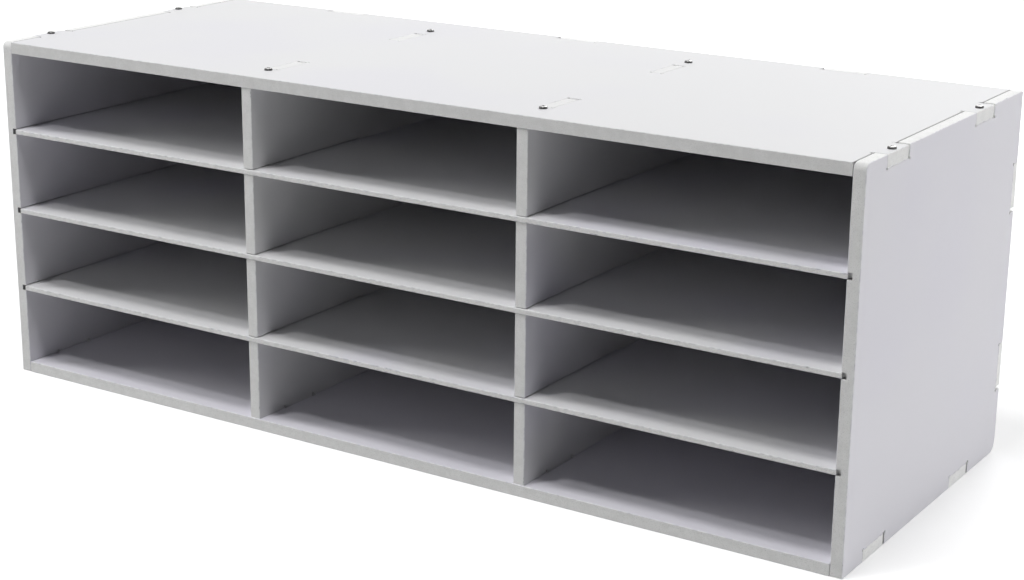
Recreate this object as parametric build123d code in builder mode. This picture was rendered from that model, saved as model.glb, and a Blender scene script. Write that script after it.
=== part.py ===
"""Open-fronted organizer for flat sheets of craft paper.

A case of tabbed and slotted boards holds three columns of shelves. The top and bottom panels lock
into the side panels and take the tabs of two dividers, with screws driven down into the edges of the
upright boards. The shelves lie in grooves of the side panels, half-lap across the dividers and draw
out at the front.

Units are millimetres. X runs across the width, Y runs back from the open front at -Y, and Z is up.
The origin is the centre of the footprint, on the surface that the case stands on.
"""

import os

from build123d import *

os.makedirs("parts", exist_ok=True)

# Overall size
overall_width = 980
overall_depth = 370
overall_height = 366

# Board thicknesses
case_board = 12
divider_board = 12
back_board = 10
shelf_board = 5

# Columns and levels
middle_bay = 307
shelf_names = ("lower", "middle", "upper")

# Tabs and the notches that take them
tab_length = 44
tab_play = 4
front_tab_from_front = 43
rear_tab_from_rear = 79
back_tab_rise = 91
back_tab_spread = 310
relief_radius = 1.5
root_relief_depth = 3

# Clearances
panel_end_gap = 0.4
slot_side_play = 0.25
divider_setback = 1
divider_rear_gap = 0.5
back_edge_gap = 0.4

# Shelves, their grooves and their half-laps
groove_depth = 5
groove_stop = 5
shelf_play_below = 0.3
shelf_play_above = 0.9
shelf_tongue = 3.4
shelf_lip = 0.6
shelf_lip_depth = 4
shelf_rear_play = 0.5
lap_side_play = 0.5
lap_end_play = 0.5

# Edges
edge_ease = 0.5
front_top_radius = 6
front_bottom_radius = 2
rear_top_radius = 1.5
rear_bottom_radius = 12

# Screws
screw_length = 35
thread_radius = 2
thread_depth = 0.5
thread_pitch = 2
screw_point = 5
plain_shank = 12
head_radius = 4
pan_head_height = 2.4
pan_rim_height = 0.8
pan_flat_radius = 2.2
recess_span = 4.4
recess_width = 1
recess_depth = 1.5
recess_turn = 37
screw_hole_play = 0.25
pilot_play = 0.05
pilot_extra_depth = 1.5
front_screw_lead = 7
rear_screw_trail = 23

# Faces of the case
half_width = overall_width / 2
inner_half = half_width - case_board
front = -overall_depth / 2
rear = overall_depth / 2
back_face = rear - back_board
ceiling = overall_height - case_board
mid_height = overall_height / 2

# Places of the tabs: each span of Y is (start, end), and the play lies behind the tab
front_tab = (front + front_tab_from_front, front + front_tab_from_front + tab_length)
rear_tab = (rear - rear_tab_from_rear - tab_length, rear - rear_tab_from_rear)
tab_spans = (front_tab, rear_tab)
notch_length = tab_length + tab_play
divider_half_pitch = (middle_bay + divider_board) / 2
side_screw_y = tuple((start + end) / 2 for start, end in tab_spans)
divider_screw_y = (front_tab[0] - front_screw_lead, rear_tab[1] + rear_screw_trail)
side_screw_x = half_width - case_board / 2
screw_rows = (
    ("side", side_screw_x, side_screw_y),
    ("divider", divider_half_pitch, divider_screw_y),
)
screw_places = [
    (f"{side}_{board}_{end}", (hand * x, y))
    for side, hand in (("left", -1), ("right", 1))
    for board, x, row in screw_rows
    for end, y in zip(("front", "rear"), row)
]

# Levels: the shelves share the clear height equally
groove_height = shelf_play_below + shelf_board + shelf_play_above
shelf_count = len(shelf_names)
bay_height = (ceiling - case_board - shelf_count * shelf_board) / (shelf_count + 1)
shelf_pitch = bay_height + shelf_board
shelf_bottoms = [case_board + bay_height + level * shelf_pitch for level in range(shelf_count)]
groove_end = back_face - groove_stop
shelf_rear = groove_end - groove_height / 2 - shelf_rear_play
lap_end = (front + shelf_rear) / 2


def tab(shoulder, tip, start, end, upright=False):
    """Add a tab to the sketch, with a relief cut into the shoulder at each side of its root.

    The tab runs from shoulder to tip along the sketch's X, or its Y when upright, and spans start
    to end across that.
    """

    def place(along, across):
        return (across, along) if upright else (along, across)

    with Locations(place((shoulder + tip) / 2, (start + end) / 2)):
        Rectangle(*place(abs(tip - shoulder), end - start))
    with Locations(place(shoulder, start - relief_radius), place(shoulder, end + relief_radius)):
        SlotOverall(
            2 * root_relief_depth, 2 * relief_radius, rotation=90 if upright else 0, mode=Mode.SUBTRACT
        )


def notch(edge, floor, start, end, upright=False):
    """Cut an open notch into the sketch from an edge to its floor, with a relief hole at each corner.

    The notch's depth runs along the sketch's X, or its Y when upright, and it spans start to end.
    """

    def place(along, across):
        return (across, along) if upright else (along, across)

    with Locations(place((edge + floor) / 2, (start + end) / 2)):
        Rectangle(*place(abs(edge - floor), end - start), mode=Mode.SUBTRACT)
    with Locations(place(floor, start), place(floor, end)):
        Circle(relief_radius, mode=Mode.SUBTRACT)


def ease_outline(board, normal):
    """Take the sharp edge off the outline of a board's two large faces, square to the normal axis."""
    broad_faces = board.faces().filter_by(normal).sort_by(SortBy.AREA)[-2:]
    chamfer(broad_faces.edges(), length=edge_ease)


def save(piece, name):
    """Label a finished piece and write it to its own file."""
    piece.part.label = name
    export_step(piece.part, f"parts/{name}.step")


# Spans that tabs and notches share
notch_spans = [(start, start + notch_length) for start, end in tab_spans]
back_side_tabs = [
    (mid_height + rise - tab_length / 2, mid_height + rise + tab_length / 2)
    for rise in (-back_tab_rise, back_tab_rise)
]
back_cross_tabs = [
    (spread - tab_length / 2, spread + tab_length / 2)
    for spread in (-back_tab_spread, 0, back_tab_spread)
]
pilot_radius = thread_radius + pilot_play
pilot_depth = screw_length - case_board + pilot_extra_depth

# Side panels: notched on three edges and grooved for the shelves, with pilot holes in the notch floors
for hand, side in ((-1, "left"), (1, "right")):
    inner_plane = Plane.YZ.offset(hand * inner_half)
    with BuildPart() as side_panel:
        with BuildSketch(inner_plane) as outline:
            with Locations((0, mid_height)):
                Rectangle(overall_depth, overall_height)
            for row, end, radius in (
                (-1, 0, front_top_radius),
                (-1, -1, rear_top_radius),
                (0, 0, front_bottom_radius),
                (0, -1, rear_bottom_radius),
            ):
                fillet(outline.vertices().group_by(Axis.Y)[row].sort_by(Axis.X)[end], radius)
            for start, end in notch_spans:
                notch(overall_height, ceiling, start, end, upright=True)
                notch(0, case_board, start, end, upright=True)
            for start, end in back_side_tabs:
                notch(rear, back_face, start - tab_play, end)
        extrude(amount=hand * case_board)
        ease_outline(side_panel, Axis.X)
        with BuildSketch(inner_plane):
            for shelf_bottom in shelf_bottoms:
                with Locations((front, shelf_bottom - shelf_play_below + groove_height / 2)):
                    SlotOverall(2 * (groove_end - front), groove_height)
        extrude(amount=hand * groove_depth, mode=Mode.SUBTRACT)
        with Locations(*((hand * side_screw_x, y, z) for y in side_screw_y for z in (case_board, ceiling))):
            Hole(pilot_radius, pilot_depth)
    save(side_panel, f"side_panel_{side}")

# Top and bottom panels: tabs into the sides, slots for the dividers, rear notches for the back panel
panel_end = inner_half - panel_end_gap
slot_width = divider_board + 2 * slot_side_play
panel_screws = [place for _, place in screw_places]
screw_hole_radius = thread_radius + screw_hole_play
for level, underside in (("top", ceiling), ("bottom", 0)):
    with BuildPart() as cross_panel:
        with BuildSketch(Plane.XY.offset(underside)):
            Rectangle(2 * panel_end, overall_depth)
            for start, end in tab_spans:
                tab(-panel_end, -half_width, start, end)
                tab(panel_end, half_width, start, end)
            for start, end in back_cross_tabs:
                notch(rear, back_face, start - tab_play, end, upright=True)
            for start, end in notch_spans:
                with Locations(*((hand * divider_half_pitch, (start + end) / 2) for hand in (-1, 1))):
                    Rectangle(slot_width, notch_length, mode=Mode.SUBTRACT)
                    with GridLocations(slot_width, notch_length, 2, 2):
                        Circle(relief_radius, mode=Mode.SUBTRACT)
        extrude(amount=case_board)
        ease_outline(cross_panel, Axis.Z)
        if level == "top":
            with Locations(*((x, y, overall_height) for x, y in panel_screws)):
                Hole(screw_hole_radius, case_board)
        else:
            with Locations(*(Location((x, y, 0), (180, 0, 0)) for x, y in panel_screws)):
                CounterSinkHole(
                    screw_hole_radius, head_radius + pilot_play, depth=case_board, counter_sink_angle=90
                )
    save(cross_panel, f"{level}_panel")

# Dividers: tabs through the top and bottom panels, half-lap slots open at the front
divider_front = front + divider_setback
divider_rear = back_face - divider_rear_gap
for hand, side in ((-1, "left"), (1, "right")):
    near_plane = Plane.YZ.offset(hand * divider_half_pitch - divider_board / 2)
    with BuildPart() as divider:
        with BuildSketch(near_plane):
            with Locations(((divider_front + divider_rear) / 2, mid_height)):
                Rectangle(divider_rear - divider_front, ceiling - case_board)
            for start, end in tab_spans:
                tab(ceiling, overall_height, start, end, upright=True)
                tab(case_board, 0, start, end, upright=True)
            for shelf_bottom in shelf_bottoms:
                with Locations((front, shelf_bottom - shelf_play_below)):
                    Rectangle(
                        lap_end + lap_end_play - front,
                        groove_height,
                        align=(Align.MIN, Align.MIN),
                        mode=Mode.SUBTRACT,
                    )
        extrude(amount=divider_board)
        ease_outline(divider, Axis.X)
        with Locations(
            *((hand * divider_half_pitch, y, z) for y in divider_screw_y for z in (case_board, ceiling))
        ):
            Hole(pilot_radius, pilot_depth)
    save(divider, f"divider_{side}")

# Back panel: tabs into the rear notches of the sides, top and bottom
back_side_edge = inner_half - back_edge_gap
back_low_edge = case_board + back_edge_gap
back_high_edge = ceiling - back_edge_gap
with BuildPart() as back_panel:
    with BuildSketch(Plane.XZ.offset(-rear)):
        with Locations((0, mid_height)):
            Rectangle(2 * back_side_edge, back_high_edge - back_low_edge)
        for start, end in back_side_tabs:
            tab(-back_side_edge, -half_width, start, end)
            tab(back_side_edge, half_width, start, end)
        for start, end in back_cross_tabs:
            tab(back_high_edge, overall_height, start, end, upright=True)
            tab(back_low_edge, 0, start, end, upright=True)
    extrude(amount=back_board)
    ease_outline(back_panel, Axis.Y)
save(back_panel, "back_panel")

# Shelves: a lip between the side panels, tongues in their grooves, half-lap slots open at the rear
lap_width = divider_board + 2 * lap_side_play
for name, shelf_bottom in zip(shelf_names, shelf_bottoms):
    with BuildPart() as shelf:
        with BuildSketch(Plane.XY.offset(shelf_bottom)):
            with Locations((0, front)):
                Rectangle(
                    2 * (inner_half + shelf_lip), shelf_lip_depth, align=(Align.CENTER, Align.MIN)
                )
            with Locations((0, front + shelf_lip_depth)):
                Rectangle(
                    2 * (inner_half + shelf_tongue),
                    shelf_rear - front - shelf_lip_depth,
                    align=(Align.CENTER, Align.MIN),
                )
            with Locations((-divider_half_pitch, lap_end), (divider_half_pitch, lap_end)):
                Rectangle(
                    lap_width, shelf_rear - lap_end, align=(Align.CENTER, Align.MIN), mode=Mode.SUBTRACT
                )
        extrude(amount=shelf_board)
        ease_outline(shelf, Axis.Z)
    save(shelf, f"shelf_{name}")


def threaded_shank():
    """Revolve a self-tapping shank down from the origin: plain, then ridged, then a point."""
    ridges_start = -plain_shank
    ridges_end = screw_point - screw_length
    core_radius = thread_radius - thread_depth
    ridge_count = int((ridges_start - ridges_end) / thread_pitch)
    outline = [(0, 0), (thread_radius, 0), (thread_radius, ridges_start)]
    for ridge in range(ridge_count):
        root = ridges_start - ridge * thread_pitch
        outline += [(core_radius, root), (thread_radius, root - thread_pitch / 2)]
    outline += [(core_radius, ridges_end), (0, -screw_length)]
    with BuildSketch(Plane.XZ) as profile:
        with BuildLine():
            Polyline(*outline, close=True)
        make_face()
    revolve(profile.sketch, axis=Axis.Z)


def driver_recess(head_top):
    """Cut the driver's cross into the top of a head."""
    with BuildSketch(Plane.XY.offset(head_top)) as cross:
        Rectangle(recess_span, recess_width)
        Rectangle(recess_width, recess_span)
    extrude(cross.sketch, amount=-recess_depth, mode=Mode.SUBTRACT)


# Screws: a pan head that seats on the top panel and a flat head that sinks into the bottom panel
with BuildPart() as pan_screw:
    threaded_shank()
    with BuildSketch(Plane.XZ):
        with BuildLine():
            Polyline((0, pan_head_height), (0, 0), (head_radius, 0), (head_radius, pan_rim_height))
            TangentArc((pan_flat_radius, pan_head_height), (head_radius, pan_rim_height), tangent=(1, 0))
            Line((0, pan_head_height), (pan_flat_radius, pan_head_height))
        make_face()
    revolve(axis=Axis.Z)
    driver_recess(pan_head_height)

with BuildPart() as flat_screw:
    threaded_shank()
    with BuildSketch(Plane.XZ):
        with BuildLine():
            Polyline((0, 0), (head_radius, 0), (thread_radius, thread_radius - head_radius), close=False)
            Polyline((thread_radius, thread_radius - head_radius), (0, thread_radius - head_radius), (0, 0))
        make_face()
    revolve(axis=Axis.Z)
    driver_recess(0)

# Each screw is driven from outside a panel, with its cross turned its own way
for index, (place, (x, y)) in enumerate(screw_places):
    for level, master, seat in (
        ("top", pan_screw, Location((x, y, overall_height), (0, 0, index * recess_turn))),
        ("bottom", flat_screw, Location((x, y, 0), (180, 0, index * recess_turn))),
    ):
        with BuildPart() as screw:
            with Locations(seat):
                add(master.part)
        save(screw, f"{level}_screw_{place}")
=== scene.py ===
"""Looks of an open-fronted organizer of white boards for flat sheets of craft paper.

The boards are sheets with a foamed core between two smooth white skins. Their broad faces show the
skin, and every cut edge, slot and groove shows the whiter core, with a skin as a thin line each side.
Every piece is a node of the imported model, which keeps its mesh and gets its finish here. Lengths are
metres, in the frame of that model: X to the right, Y to the rear and Z up.
"""

import logging
import math
from dataclasses import dataclass
from enum import Enum

import bpy
from mathutils import Euler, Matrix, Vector


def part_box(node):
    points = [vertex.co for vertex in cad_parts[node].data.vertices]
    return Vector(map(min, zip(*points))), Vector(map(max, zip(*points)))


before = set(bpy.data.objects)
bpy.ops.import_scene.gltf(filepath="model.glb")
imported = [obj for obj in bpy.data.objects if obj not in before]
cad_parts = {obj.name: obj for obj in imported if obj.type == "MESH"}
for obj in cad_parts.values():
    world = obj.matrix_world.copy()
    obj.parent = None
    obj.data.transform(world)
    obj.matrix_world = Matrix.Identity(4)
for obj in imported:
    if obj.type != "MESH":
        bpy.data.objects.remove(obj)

log = logging.getLogger("organizer")

Colour = tuple[float, float, float]
Point = tuple[float, float, float]
Span = tuple[float, float]
Inputs = dict[str, tuple[str, object]]
Outputs = dict[str, str]
Sockets = dict[str, bpy.types.NodeSocket]

MM = 0.001
WHITE: Colour = (1.0, 1.0, 1.0)
LILAC: Colour = (0.764, 0.756, 0.801)
LILAC_COOL: Colour = (0.745, 0.734, 0.802)
# A distance past every board, for a joint, tab or groove that a board doesn't have.
NOWHERE = 1.0


class Axis(Enum):
    """The axis that a board's thickness lies along."""

    X = (1.0, 0.0, 0.0)
    Y = (0.0, 1.0, 0.0)
    Z = (0.0, 0.0, 1.0)

    @property
    def index(self) -> int:
        """Return 0, 1 or 2 for X, Y or Z."""
        return self.value.index(1.0)


class Maths(Enum):
    """The sums that the shader groups use."""

    SUBTRACT = "SUBTRACT"
    MULTIPLY = "MULTIPLY"
    ABSOLUTE = "ABSOLUTE"
    MAXIMUM = "MAXIMUM"
    DIVIDE = "DIVIDE"


class Mix(Enum):
    """What a Mix node mixes, with the places of its first input, second input and output."""

    FLOAT = (2, 3, 0)
    RGBA = (6, 7, 2)


@dataclass
class Wiring:
    """A node tree, with short ways to add nodes and links."""

    tree: bpy.types.NodeTree

    def node(self, kind: str, label: str = "", **settings: object) -> bpy.types.Node:
        """Add a node.

        Args:
            kind: the node's type, such as ShaderNodeMix.
            label: the text that it shows in the editor.
            settings: properties of the node to set.

        Returns:
            The new node.
        """
        made = self.tree.nodes.new(kind)
        made.label = label
        for name, value in settings.items():
            setattr(made, name, value)
        return made

    def feed(self, socket: bpy.types.NodeSocket, value: object) -> None:
        """Link a socket to another node's output, or set its plain value.

        Args:
            socket: the input to feed.
            value: an output socket, a number, a vector or a colour.
        """
        if isinstance(value, bpy.types.NodeSocket):
            self.tree.links.new(value, socket)
        elif isinstance(value, tuple) and socket.type == "RGBA" and len(value) == 3:
            socket.default_value = (*value, 1.0)
        else:
            socket.default_value = value

    def sum(self, kind: Maths, first: object, second: object = 0.0) -> bpy.types.NodeSocket:
        """Add a Math node and return its output.

        Args:
            kind: the sum.
            first: the first number or output.
            second: the second number or output.

        Returns:
            The result's socket.
        """
        made = self.node("ShaderNodeMath", operation=kind.value)
        self.feed(made.inputs[0], first)
        self.feed(made.inputs[1], second)
        return made.outputs[0]

    def noise(
        self,
        where: object,
        size: float,
        detail: float = 2.0,
        rough: float = 0.5,
    ) -> bpy.types.NodeSocket:
        """Add a noise pattern.

        Args:
            where: the coordinates that it reads.
            size: the width of one blotch, in metres.
            detail: octaves of finer noise.
            rough: how strong the finer octaves are.

        Returns:
            The noise value, from 0 to 1.
        """
        made = self.node("ShaderNodeTexNoise")
        self.feed(made.inputs["Vector"], where)
        made.inputs["Scale"].default_value = 1.0 / size
        made.inputs["Detail"].default_value = detail
        made.inputs["Roughness"].default_value = rough
        return made.outputs["Fac"]

    def ramp(
        self,
        value: object,
        low: float,
        high: float,
        start: float = 0.0,
        end: float = 1.0,
    ) -> bpy.types.NodeSocket:
        """Map a value smoothly from low..high to start..end, held at both ends.

        Args:
            value: the number or output to map.
            low: the value that gives start.
            high: the value that gives end.
            start: the result at low.
            end: the result at high.

        Returns:
            The mapped value.
        """
        made = self.node("ShaderNodeMapRange", interpolation_type="SMOOTHSTEP", clamp=True)
        self.feed(made.inputs["Value"], value)
        for name, number in (("From Min", low), ("From Max", high), ("To Min", start), ("To Max", end)):
            self.feed(made.inputs[name], number)
        return made.outputs["Result"]

    def mix(self, kind: Mix, share: object, first: object, second: object) -> bpy.types.NodeSocket:
        """Mix two numbers or two colours.

        Args:
            kind: what is mixed.
            share: how much of the second one shows, from 0 to 1.
            first: the first number or colour.
            second: the second number or colour.

        Returns:
            The mixed number or colour.
        """
        made = self.node("ShaderNodeMix", data_type=kind.name)
        one, other, result = kind.value
        self.feed(made.inputs[0], share)
        self.feed(made.inputs[one], first)
        self.feed(made.inputs[other], second)
        return made.outputs[result]

    def relief(self, shader: bpy.types.Node, height: object) -> None:
        """Give a shader a bumpy surface.

        Args:
            shader: the Principled BSDF.
            height: how far the surface stands out, in metres.
        """
        bump = self.node("ShaderNodeBump")
        bump.inputs["Strength"].default_value = 1.0
        bump.inputs["Distance"].default_value = 1.0
        self.feed(bump.inputs["Height"], height)
        self.feed(shader.inputs["Normal"], bump.outputs["Normal"])


def new_group(name: str, inputs: Inputs, outputs: Outputs) -> tuple[Wiring, Sockets, Sockets]:
    """Make a shader node group with named sockets.

    Args:
        name: the group's name.
        inputs: each input's name, with its kind and default value.
        outputs: each output's name, with its kind.

    Returns:
        The group's wiring, its input sockets by name and its output sockets by name.
    """
    tree = bpy.data.node_groups.new(name, "ShaderNodeTree")
    for title, (kind, value) in inputs.items():
        socket = tree.interface.new_socket(title, in_out="INPUT", socket_type=f"NodeSocket{kind}")
        if value is not None:
            socket.default_value = value
    for title, kind in outputs.items():
        tree.interface.new_socket(title, in_out="OUTPUT", socket_type=f"NodeSocket{kind}")
    wiring = Wiring(tree)
    came_in = wiring.node("NodeGroupInput").outputs
    goes_out = wiring.node("NodeGroupOutput").inputs
    given = {title: came_in[title] for title in inputs}
    out = {title: goes_out[title] for title in outputs}
    return wiring, given, out


@dataclass(frozen=True)
class Scale:
    """Sizes, limits and strengths of the patterns in the shader groups.

    A pair gives the values at which a mask is 0 and full. Those of case_skin are depths behind the
    top or bottom face of the case, and those of groove_rise are heights above or below its middle.
    """

    cut_slope: Span = (0.85, 0.6)
    skin_blur: float = 0.15 * MM
    cloud: float = 210 * MM
    cloud_limits: Span = (0.45, 0.75)
    peel: float = 3.2 * MM
    cell: float = 0.8 * MM
    cell_rough: float = 0.7
    pit_limits: Span = (0.56, 0.7)
    mottle: float = 9 * MM
    mottle_rough: float = 0.6
    mottle_limits: Span = (0.3, 0.7)
    # Patches of painted highlight and knocks on the corners.
    highlight_and_wear_spot: float = 6 * MM
    highlight_limits: Span = (0.7, 0.4)
    knock_limits: Span = (0.7, 0.78)
    # The painted shade in the seams and shelf grooves.
    case_middle: float = 183 * MM
    case_skin: Span = (-1.6 * MM, -1.2 * MM)
    seam_blur: float = 0.1 * MM
    tab_line: Span = (0.7 * MM, 0.4 * MM)
    tab_strength: float = 0.45
    groove_width: Span = (2.9 * MM, 2.6 * MM)
    groove_strength: float = 0.9
    groove_front: Span = (-184.6 * MM, -184.0 * MM)
    groove_rise: Span = (170.7 * MM, 170.3 * MM)
    dull_limits: Span = (0.4, 0.65)


class Effects:
    """Shader groups that more than one material uses, built once."""

    def __init__(self) -> None:
        """Build every group."""
        self.scale = Scale()
        self.section = self._section()
        self.clouds = self._clouds()
        self.grain = self._grain()
        self.highlight_and_wear = self._make_highlight_and_wear()
        self.grime = self._make_seam_shade()
        self.tarnish = self._tarnish()

    def _section(self) -> bpy.types.NodeTree:
        """Build the group that tells a board's core from its skins.

        Returns:
            The group. Core is 1 on a cut edge, between the skins, and Arris is 1 on the eased corners
            and on the thin line of skin beside them.
        """
        wiring, given, out = new_group(
            "board_section",
            {
                "Place": ("Vector", None),
                "Facing": ("Vector", None),
                "Axis": ("Vector", (0.0, 0.0, 1.0)),
                "Centre": ("Float", 0.0),
                "Half": ("Float", 6 * MM),
                "Skin": ("Float", 0.8 * MM),
            },
            {"Core": "Float", "Arris": "Float"},
        )
        along = wiring.node("ShaderNodeVectorMath", operation="DOT_PRODUCT")
        wiring.feed(along.inputs[0], given["Place"])
        wiring.feed(along.inputs[1], given["Axis"])
        offset = wiring.sum(Maths.SUBTRACT, along.outputs["Value"], given["Centre"])
        depth = wiring.sum(Maths.SUBTRACT, given["Half"], wiring.sum(Maths.ABSOLUTE, offset))
        turned = wiring.node("ShaderNodeVectorMath", operation="DOT_PRODUCT")
        wiring.feed(turned.inputs[0], given["Facing"])
        wiring.feed(turned.inputs[1], given["Axis"])
        slope = wiring.sum(Maths.ABSOLUTE, turned.outputs["Value"])
        cut = wiring.ramp(slope, *self.scale.cut_slope)
        under = wiring.sum(Maths.SUBTRACT, depth, given["Skin"])
        inside = wiring.ramp(under, -self.scale.skin_blur, self.scale.skin_blur)
        core = wiring.sum(Maths.MULTIPLY, cut, inside)
        wiring.feed(out["Core"], core)
        wiring.feed(out["Arris"], wiring.sum(Maths.SUBTRACT, cut, core))
        return wiring.tree

    def _clouds(self) -> bpy.types.NodeTree:
        """Build the group for wide, faint patches and the fine peel of a smooth skin.

        Returns:
            The group. Cloud runs from 0 to 1 over a hand's width, and Peel over a few millimetres.
        """
        wiring, given, out = new_group(
            "skin_clouds",
            {"Place": ("Vector", None), "Seed": ("Vector", (0.0, 0.0, 0.0))},
            {"Cloud": "Float", "Peel": "Float"},
        )
        shifted = wiring.node("ShaderNodeVectorMath", operation="ADD")
        wiring.feed(shifted.inputs[0], given["Place"])
        wiring.feed(shifted.inputs[1], given["Seed"])
        patches = wiring.noise(shifted.outputs[0], self.scale.cloud, 1.0)
        wiring.feed(out["Cloud"], wiring.ramp(patches, *self.scale.cloud_limits))
        wiring.feed(out["Peel"], wiring.noise(shifted.outputs[0], self.scale.peel, 1.0))
        return wiring.tree

    def _grain(self) -> bpy.types.NodeTree:
        """Build the group for the fine foam that a saw has cut through.

        Returns:
            The group. Pit is 1 in an open cell, Mottle varies along the edge, and Height is the relief.
        """
        wiring, given, out = new_group(
            "foam_grain",
            {"Place": ("Vector", None)},
            {"Pit": "Float", "Mottle": "Float", "Height": "Float"},
        )
        cells = wiring.noise(given["Place"], self.scale.cell, 1.0, self.scale.cell_rough)
        pit = wiring.ramp(cells, *self.scale.pit_limits)
        wiring.feed(out["Pit"], pit)
        blotches = wiring.noise(given["Place"], self.scale.mottle, 2.0, self.scale.mottle_rough)
        wiring.feed(out["Mottle"], wiring.ramp(blotches, *self.scale.mottle_limits))
        wiring.feed(out["Height"], wiring.sum(Maths.SUBTRACT, cells, pit))
        return wiring.tree

    def _make_highlight_and_wear(self) -> bpy.types.NodeTree:
        """Build the group for painted highlights and knocks on the corners.

        Returns:
            The group. Highlight is where a corner gets a painted highlight, in patches, and Knock is a
            short dark bruise on it.
        """
        wiring, given, out = new_group(
            "corner_highlight_and_wear",
            {"Place": ("Vector", None), "Corner": ("Float", 0.0)},
            {"Highlight": "Float", "Knock": "Float"},
        )
        spots = wiring.noise(given["Place"], self.scale.highlight_and_wear_spot, 1.0)
        painted_highlight = wiring.ramp(spots, *self.scale.highlight_limits)
        knocked = wiring.ramp(spots, *self.scale.knock_limits)
        wiring.feed(out["Highlight"], wiring.sum(Maths.MULTIPLY, given["Corner"], painted_highlight))
        wiring.feed(out["Knock"], wiring.sum(Maths.MULTIPLY, given["Corner"], knocked))
        return wiring.tree

    def _make_seam_shade(self) -> bpy.types.NodeTree:
        """Build the group for the dark lines of painted shade in the joints and grooves.

        Returns:
            The group. Grime is 1 on corners that lie from Near to Far of the middle of the case, in
            its outer faces, as painted shade in the seams. It is weaker across the front ends of the
            tabs there, at First and Second along Y. It is nearly 1 inside the shelf grooves, which lie
            at Slot from the middle of the case, as painted shade in their gaps.
        """
        wiring, given, out = new_group(
            "joint_painted_shade",
            {
                "Place": ("Vector", None),
                "Corner": ("Float", 0.0),
                "Near": ("Float", NOWHERE),
                "Far": ("Float", NOWHERE),
                "First": ("Float", -NOWHERE),
                "Second": ("Float", -NOWHERE),
                "Slot": ("Float", NOWHERE),
            },
            {"Grime": "Float"},
        )
        parts = wiring.node("ShaderNodeSeparateXYZ")
        wiring.feed(parts.inputs[0], given["Place"])
        across = wiring.sum(Maths.ABSOLUTE, parts.outputs["X"])
        rise = wiring.sum(Maths.SUBTRACT, parts.outputs["Z"], self.scale.case_middle)
        rise = wiring.sum(Maths.ABSOLUTE, rise)
        blur = self.scale.seam_blur
        past = wiring.ramp(wiring.sum(Maths.SUBTRACT, across, given["Near"]), -blur, blur)
        before = wiring.ramp(wiring.sum(Maths.SUBTRACT, across, given["Far"]), blur, -blur)
        seam = wiring.sum(Maths.MULTIPLY, wiring.sum(Maths.MULTIPLY, past, before), given["Corner"])
        for end in (given["First"], given["Second"]):
            ahead = wiring.sum(Maths.ABSOLUTE, wiring.sum(Maths.SUBTRACT, parts.outputs["Y"], end))
            line = wiring.ramp(ahead, *self.scale.tab_line, 0.0, self.scale.tab_strength)
            seam = wiring.sum(Maths.MAXIMUM, seam, line)
        depth = wiring.sum(Maths.SUBTRACT, rise, self.scale.case_middle)
        seam = wiring.sum(Maths.MULTIPLY, seam, wiring.ramp(depth, *self.scale.case_skin))

        aside = wiring.sum(Maths.ABSOLUTE, wiring.sum(Maths.SUBTRACT, across, given["Slot"]))
        groove = wiring.ramp(aside, *self.scale.groove_width, 0.0, self.scale.groove_strength)
        behind = wiring.ramp(parts.outputs["Y"], *self.scale.groove_front)
        groove = wiring.sum(Maths.MULTIPLY, groove, behind)
        groove = wiring.sum(Maths.MULTIPLY, groove, wiring.ramp(rise, *self.scale.groove_rise))
        wiring.feed(out["Grime"], wiring.sum(Maths.MAXIMUM, seam, groove))
        return wiring.tree

    def _tarnish(self) -> bpy.types.NodeTree:
        """Build the group for dull patches on plated metal.

        Returns:
            The group. Dull runs from 0 to 1.
        """
        wiring, given, out = new_group(
            "plating_tarnish",
            {"Place": ("Vector", None), "Size": ("Float", 1.2 * MM)},
            {"Dull": "Float"},
        )
        scaled = wiring.node("ShaderNodeVectorMath", operation="SCALE")
        wiring.feed(scaled.inputs[0], given["Place"])
        wiring.feed(scaled.inputs["Scale"], wiring.sum(Maths.DIVIDE, MM, given["Size"]))
        patches = wiring.noise(scaled.outputs[0], MM)
        wiring.feed(out["Dull"], wiring.ramp(patches, *self.scale.dull_limits))
        return wiring.tree

    @staticmethod
    def place(wiring: Wiring, group: bpy.types.NodeTree, **values: object) -> bpy.types.NodeOutputs:
        """Put a group into a material.

        Args:
            wiring: the material's wiring.
            group: the group.
            values: what feeds each of its inputs.

        Returns:
            The group node's outputs.
        """
        made = wiring.node("ShaderNodeGroup", group.name, node_tree=group)
        for name, value in values.items():
            wiring.feed(made.inputs[name], value)
        return made.outputs


@dataclass(frozen=True)
class Cut:
    """How one board was cut and where painted shade lies on it.

    Its thickness runs over span on the axis. Its joint with a side panel starts and ends at those
    distances from the middle of the case, the front ends of its tabs or notches are at tabs along Y,
    and its shelf grooves lie at groove from the middle. NOWHERE leaves a place out. Seed is where in
    the cloud pattern the board was cut from.
    """

    name: str
    axis: Axis
    span: Span
    joint: Span
    tabs: Span
    groove: float
    seed: Point


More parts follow.
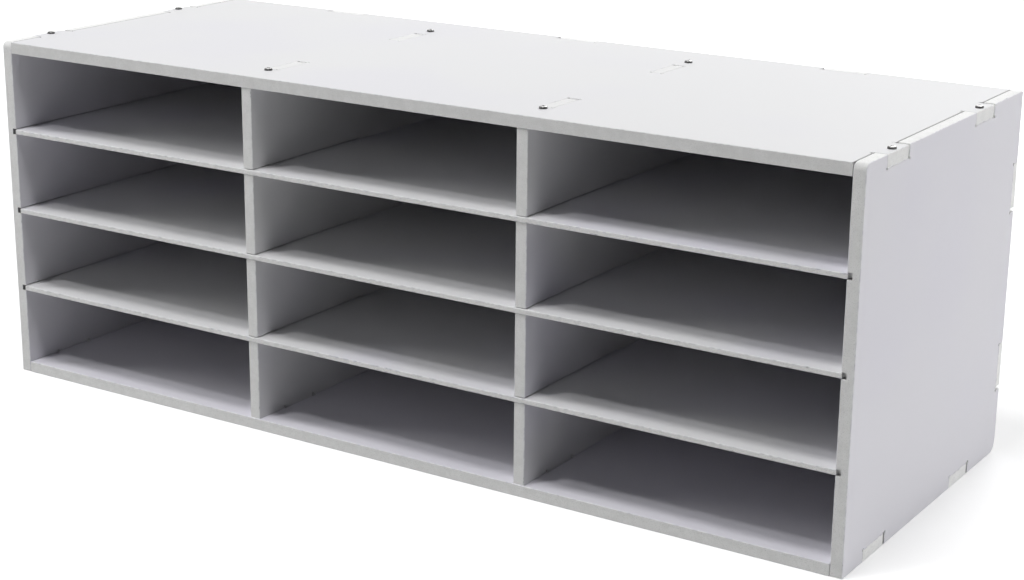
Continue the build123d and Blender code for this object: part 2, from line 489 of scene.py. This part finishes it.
@dataclass(frozen=True)
class BoardFinish:
    """Cool white satin skins over a whiter foamed core, with painted highlights and knocks on the
    corners and painted shade in the joints.

    Covered is 1 on a board whose tab ends are darkened all over, and 0 where only corners are.
    """

    skin: Colour = (0.77, 0.77, 0.78)
    skin_cool: Colour = (0.737, 0.729, 0.792)
    core: Colour = (0.97, 0.971, 0.965)
    core_shade: Colour = (0.915, 0.916, 0.908)
    pit: Colour = (0.8, 0.802, 0.793)
    # Painted highlight on the eased corners and the skin line beside them, in patches.
    painted_highlight: Colour = (0.985, 0.985, 0.985)
    knocked: Colour = (0.55, 0.55, 0.55)
    # Painted shade in the seams between boards and in the shelf grooves.
    seam_shade_colour: Colour = (0.25, 0.25, 0.25)
    covered: float = 0.0
    skin_thickness: float = 0.8 * MM
    skin_roughness: Span = (0.36, 0.5)
    core_roughness: float = 0.8
    specular: float = 0.12
    peel: float = 0.02 * MM
    relief: float = 0.025 * MM

    def material(self, cut: Cut, effects: Effects) -> bpy.types.Material:
        """Make the finish for one board.

        Args:
            cut: how the board was cut.
            effects: the shared shader groups.

        Returns:
            The material.
        """
        made = bpy.data.materials.new(f"board_{cut.name}")
        made.use_nodes = True
        wiring = Wiring(made.node_tree)
        shader = made.node_tree.nodes["Principled BSDF"]
        where = wiring.node("ShaderNodeTexCoord").outputs
        here = where["Object"]
        low, high = cut.span
        section = effects.place(
            wiring,
            effects.section,
            Place=here,
            Facing=where["Normal"],
            Axis=cut.axis.value,
            Centre=(low + high) / 2,
            Half=(high - low) / 2,
            Skin=self.skin_thickness,
        )
        clouds = effects.place(wiring, effects.clouds, Place=here, Seed=cut.seed)
        grain = effects.place(wiring, effects.grain, Place=here)
        # Painted highlight in patches on the corners, and knocks on them.
        highlight_and_wear = effects.place(wiring, effects.highlight_and_wear, Place=here, Corner=section["Arris"])
        # Painted shade in the seams and shelf grooves.
        shade_in_seams = effects.place(
            wiring,
            effects.grime,
            Place=here,
            Corner=wiring.sum(Maths.MAXIMUM, section["Arris"], self.covered),
            Near=cut.joint[0],
            Far=cut.joint[1],
            First=cut.tabs[0],
            Second=cut.tabs[1],
            Slot=cut.groove,
        )

        faces = wiring.mix(Mix.RGBA, clouds["Cloud"], self.skin, self.skin_cool)
        core = wiring.mix(Mix.RGBA, grain["Mottle"], self.core, self.core_shade)
        core = wiring.mix(Mix.RGBA, grain["Pit"], core, self.pit)
        colour = wiring.mix(Mix.RGBA, section["Core"], faces, core)
        # Painted highlight on the corners.
        colour = wiring.mix(Mix.RGBA, highlight_and_wear["Highlight"], colour, self.painted_highlight)
        colour = wiring.mix(Mix.RGBA, highlight_and_wear["Knock"], colour, self.knocked)
        # Painted shade in the seams and grooves.
        colour = wiring.mix(Mix.RGBA, shade_in_seams["Grime"], colour, self.seam_shade_colour)
        wiring.feed(shader.inputs["Base Color"], colour)

        gloss = wiring.mix(Mix.FLOAT, clouds["Peel"], *self.skin_roughness)
        gloss = wiring.mix(Mix.FLOAT, section["Core"], gloss, self.core_roughness)
        wiring.feed(shader.inputs["Roughness"], gloss)
        shader.inputs["Specular IOR Level"].default_value = self.specular

        peel = wiring.sum(Maths.MULTIPLY, clouds["Peel"], self.peel)
        cells = wiring.sum(Maths.MULTIPLY, grain["Height"], self.relief)
        wiring.relief(shader, wiring.mix(Mix.FLOAT, section["Core"], peel, cells))
        return made


@dataclass(frozen=True)
class MetalFinish:
    """Bright nickel on the crown of a screw's head, with painted shade at its foot and on the walls of
    the driver's cross.
    """

    bright: Colour = (0.67, 0.67, 0.665)
    dull: Colour = (0.53, 0.525, 0.52)
    # Painted shade at the foot of the head and on the walls of the driver's cross.
    dark: Colour = (0.065, 0.065, 0.065)
    roughness: Span = (0.25, 0.45)
    wall: Span = (0.12, 0.3)
    tarnish: float = 1.2 * MM
    relief: float = 0.01 * MM

    def material(self, name: str, crown: Span, effects: Effects) -> bpy.types.Material:
        """Make the finish.

        Args:
            name: the material's name.
            crown: the heights where the painted shade at the foot of the head ends and where the head
                is fully bright.
            effects: the shared shader groups.

        Returns:
            The material.
        """
        made = bpy.data.materials.new(name)
        made.use_nodes = True
        wiring = Wiring(made.node_tree)
        shader = made.node_tree.nodes["Principled BSDF"]
        where = wiring.node("ShaderNodeTexCoord").outputs
        worn = effects.place(wiring, effects.tarnish, Place=where["Object"], Size=self.tarnish)["Dull"]
        height = wiring.node("ShaderNodeSeparateXYZ")
        wiring.feed(height.inputs[0], where["Object"])
        facing = wiring.node("ShaderNodeSeparateXYZ")
        wiring.feed(facing.inputs[0], where["Normal"])
        # Painted shade on steep walls and at the foot of the head, bright metal on the crown.
        level = wiring.ramp(wiring.sum(Maths.ABSOLUTE, facing.outputs["Z"]), *self.wall)
        lit = wiring.sum(Maths.MULTIPLY, level, wiring.ramp(height.outputs["Z"], *crown))
        metal = wiring.mix(Mix.RGBA, worn, self.bright, self.dull)
        wiring.feed(shader.inputs["Base Color"], wiring.mix(Mix.RGBA, lit, self.dark, metal))
        wiring.feed(shader.inputs["Roughness"], wiring.mix(Mix.FLOAT, worn, *self.roughness))
        shader.inputs["Metallic"].default_value = 1.0
        wiring.relief(shader, wiring.sum(Maths.MULTIPLY, worn, self.relief))
        return made


@dataclass(frozen=True)
class Boards:
    """The boards of one kind, which share a finish and a thickness axis.

    Joint, tabs and groove are as in Cut. Cloud_step is how far apart two boards were cut from the
    cloud pattern.
    """

    names: tuple[str, ...]
    axis: Axis
    joint: Span = (NOWHERE, NOWHERE)
    tabs: Span = (-NOWHERE, -NOWHERE)
    groove: float = NOWHERE
    finish: BoardFinish = BoardFinish()
    cloud_step: Point = (1.7, 3.1, 2.3)

    def cut(self, number: int) -> Cut:
        """Say how one of the boards was cut.

        Args:
            number: the board's place among the names.

        Returns:
            The board's cut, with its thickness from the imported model.
        """
        name = self.names[number]
        low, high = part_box(name)
        span = (low[self.axis.index], high[self.axis.index])
        turn = number + 1 + 2 * self.axis.index
        seed = tuple(step * turn for step in self.cloud_step)
        return Cut(name, self.axis, span, self.joint, self.tabs, self.groove, seed)

    def dress(self, effects: Effects) -> None:
        """Give each board its own cut of the finish.

        Args:
            effects: the shared shader groups.
        """
        for number, name in enumerate(self.names):
            cut = self.cut(number)
            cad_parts[name].material_slots[0].material = self.finish.material(cut, effects)
            thickness = (cut.span[1] - cut.span[0]) / MM
            log.info("%s: board %.1f mm thick along %s", name, thickness, self.axis.name)


class HeadKind(Enum):
    """How a screw's head sits, with the heights between which the painted shade at its foot gives way
    to the bright crown.
    """

    PAN = (367.75 * MM, 368.3 * MM)
    FLUSH = (1.2 * MM, 0.3 * MM)


@dataclass(frozen=True)
class Screws:
    """The screws that hold the top and bottom panels to the upright boards."""

    kind: HeadKind
    level: str
    finish: MetalFinish = MetalFinish()

    def dress(self, effects: Effects) -> None:
        """Give every screw of this level its finish.

        Args:
            effects: the shared shader groups.
        """
        head = self.kind.name.lower()
        metal = self.finish.material(f"nickel_{head}", self.kind.value, effects)
        for name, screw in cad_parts.items():
            if name.startswith(f"{self.level}_screw"):
                screw.material_slots[0].material = metal
                log.info("%s: nickel, %s head", name, head)


@dataclass(frozen=True)
class Organizer:
    """Every board and screw of the organizer, each kind with its own finish."""

    sides: Boards = Boards(
        names=("side_panel_left", "side_panel_right"),
        axis=Axis.X,
        joint=(477.5 * MM, 479 * MM),
        tabs=(-142.5 * MM, 61.5 * MM),
        groove=481 * MM,
        finish=BoardFinish(skin=LILAC, skin_cool=LILAC_COOL),
    )
    dividers: Boards = Boards(
        names=("divider_left", "divider_right"),
        axis=Axis.X,
        joint=(-NOWHERE, NOWHERE),
        # The dividers' tab ends in the top and bottom panels are darkened all over, less than the
        # seams.
        finish=BoardFinish(seam_shade_colour=(0.825, 0.825, 0.825), covered=1.0),
    )
    top: Boards = Boards(
        names=("top_panel",),
        axis=Axis.Z,
        joint=(476.9 * MM, 489 * MM),
        finish=BoardFinish(
            skin_cool=(0.756, 0.753, 0.782),
            # A darker core than the other boards', as painted shade on the top panel's cut edges.
            core=(0.905, 0.906, 0.9),
            core_shade=(0.85, 0.851, 0.843),
        ),
    )
    bottom: Boards = Boards(
        names=("bottom_panel",),
        axis=Axis.Z,
        joint=(476.9 * MM, 489 * MM),
        finish=BoardFinish(skin=(0.762, 0.751, 0.806), skin_cool=(0.747, 0.73, 0.81)),
        cloud_step=(2.9, 1.3, 3.7),
    )
    back: Boards = Boards(
        names=("back_panel",),
        axis=Axis.Y,
        finish=BoardFinish(skin=LILAC, skin_cool=LILAC_COOL),
    )
    shelves: Boards = Boards(
        names=("shelf_lower", "shelf_middle", "shelf_upper"),
        axis=Axis.Z,
        # A thicker line of skin widens the painted highlight along the shelves' front edges.
        finish=BoardFinish(skin_thickness=1.2 * MM),
    )
    top_screws: Screws = Screws(HeadKind.PAN, "top")
    bottom_screws: Screws = Screws(HeadKind.FLUSH, "bottom")

    def dress(self) -> None:
        """Give every board and screw its finish."""
        effects = Effects()
        for boards in (self.sides, self.dividers, self.top, self.bottom, self.back, self.shelves):
            boards.dress(effects)
        for screws in (self.top_screws, self.bottom_screws):
            screws.dress(effects)


@dataclass(frozen=True)
class SoftBox:
    """A rectangular studio lamp that faces the organizer.

    Its bearing runs from the front round to the right, and its height up from level, both in degrees.
    The distance is from the point that it is aimed at, and the power is in watts.
    """

    name: str
    bearing: float
    height: float
    distance: float
    width: float
    depth: float
    power: float
    aim: Point = (0.0, 0.0, 0.2)

    def hang(self) -> None:
        """Hang the lamp in its place."""
        turn = math.radians(self.bearing)
        rise = math.radians(self.height)
        level = math.cos(rise)
        away = Vector((math.sin(turn) * level, -math.cos(turn) * level, math.sin(rise)))
        lamp = bpy.data.lights.new(self.name, "AREA")
        lamp.shape = "RECTANGLE"
        lamp.size = self.width
        lamp.size_y = self.depth
        lamp.energy = self.power
        hung = bpy.data.objects.new(self.name, lamp)
        hung.location = Vector(self.aim) + away * self.distance
        hung.rotation_euler = (-away).to_track_quat("-Z", "Y").to_euler()
        bpy.context.scene.collection.objects.link(hung)
        log.info("%s: %.1f W", self.name, self.power)


@dataclass
class Studio:
    """A white studio with a pale floor, lamps and the camera.

    The floor lies a hair under the organizer. It is lifted to white for the eye by its glow, which
    grows with the distance from the middle over floor_reach.
    """

    floor_span: float = 30.0
    floor_drop: float = 0.05 * MM
    floor_colour: Colour = (0.64, 0.64, 0.64)
    floor_roughness: float = 0.9
    floor_glow: Span = (0.56, 1.0)
    floor_reach: Span = (0.9, 2.6)
    ambient: float = 0.002
    backdrop: float = 1.0
    camera_place: Point = (1.11621, -1.69166, 0.74303)
    camera_turn: Point = (73.174, -0.5155, 32.805)
    camera_lens: float = 71.804
    camera_sensor: float = 36.0
    camera_nearest: float = 0.05
    lamps: tuple[SoftBox, ...] = (
        SoftBox("key", -27.0, 60.0, 5.2, 0.5, 0.5, 49.0),
        SoftBox("overhead", 8.0, 75.0, 3.6, 0.7, 0.7, 54.5),
        SoftBox("left_side", -71.0, 20.0, 4.2, 1.3, 1.3, 62.0),
        SoftBox("right_side", 90.0, 0.5, 2.6, 0.78, 0.34, 16.8),
        SoftBox("right_rear", 120.0, 0.5, 2.6, 0.9, 0.34, 7.2),
        SoftBox("rear", 176.0, 42.0, 2.6, 1.0, 1.0, 31.0),
    )

    def build(self) -> None:
        """Make the floor, the world, the lamps and the camera."""
        self._floor()
        self._world()
        for lamp in self.lamps:
            lamp.hang()
        self._camera()
        bpy.context.scene.view_settings.view_transform = "Standard"

    @staticmethod
    def _seen(wiring: Wiring) -> bpy.types.NodeSocket:
        """Tell what the camera sees straight, mirrored in metal or through glass.

        Args:
            wiring: the wiring of the floor's material or of the world.

        Returns:
            The mask, which is 1 for such a ray.
        """
        path = wiring.node("ShaderNodeLightPath").outputs
        seen = wiring.sum(Maths.MAXIMUM, path["Is Camera Ray"], path["Is Glossy Ray"])
        return wiring.sum(Maths.MAXIMUM, seen, path["Is Transmission Ray"])

    def _floor(self) -> None:
        """Lay a plain pale floor that keeps the organizer's shadow."""
        bpy.ops.mesh.primitive_plane_add(size=self.floor_span)
        floor = bpy.context.object
        floor.name = "studio_floor"
        floor.location.z = -self.floor_drop
        made = bpy.data.materials.new("studio_floor")
        made.use_nodes = True
        wiring = Wiring(made.node_tree)
        shader = made.node_tree.nodes["Principled BSDF"]
        wiring.feed(shader.inputs["Base Color"], self.floor_colour)
        shader.inputs["Roughness"].default_value = self.floor_roughness
        shader.inputs["Specular IOR Level"].default_value = 0.0
        glow = wiring.node("ShaderNodeEmission")
        reach = wiring.node("ShaderNodeVectorMath", operation="LENGTH")
        wiring.feed(reach.inputs[0], wiring.node("ShaderNodeTexCoord").outputs["Object"])
        lift = wiring.ramp(reach.outputs["Value"], *self.floor_reach, *self.floor_glow)
        wiring.feed(glow.inputs["Strength"], wiring.sum(Maths.MULTIPLY, self._seen(wiring), lift))
        both = wiring.node("ShaderNodeAddShader")
        wiring.feed(both.inputs[0], shader.outputs["BSDF"])
        wiring.feed(both.inputs[1], glow.outputs["Emission"])
        wiring.feed(made.node_tree.nodes["Material Output"].inputs["Surface"], both.outputs[0])
        floor.data.materials.append(made)

    def _world(self) -> None:
        """Light the room evenly and softly, with a white backdrop all round."""
        world = bpy.data.worlds.new("studio")
        bpy.context.scene.world = world
        world.use_nodes = True
        wiring = Wiring(world.node_tree)
        strength = wiring.mix(Mix.FLOAT, self._seen(wiring), self.ambient, self.backdrop)
        sky = world.node_tree.nodes["Background"]
        wiring.feed(sky.inputs["Color"], WHITE)
        wiring.feed(sky.inputs["Strength"], strength)

    def _camera(self) -> None:
        """Set the camera up in front, to the right and above."""
        camera = bpy.data.cameras.new("camera")
        camera.sensor_width = self.camera_sensor
        camera.lens = self.camera_lens
        camera.clip_start = self.camera_nearest
        stand = bpy.data.objects.new("camera", camera)
        stand.location = self.camera_place
        stand.rotation_euler = Euler([math.radians(turn) for turn in self.camera_turn])
        bpy.context.scene.collection.objects.link(stand)
        bpy.context.scene.camera = stand


def main() -> None:
    """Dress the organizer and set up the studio."""
    logging.basicConfig(level=logging.INFO, format="%(name)s: %(message)s")
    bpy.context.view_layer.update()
    Organizer().dress()
    Studio().build()


if __name__ == "__main__":
    main()
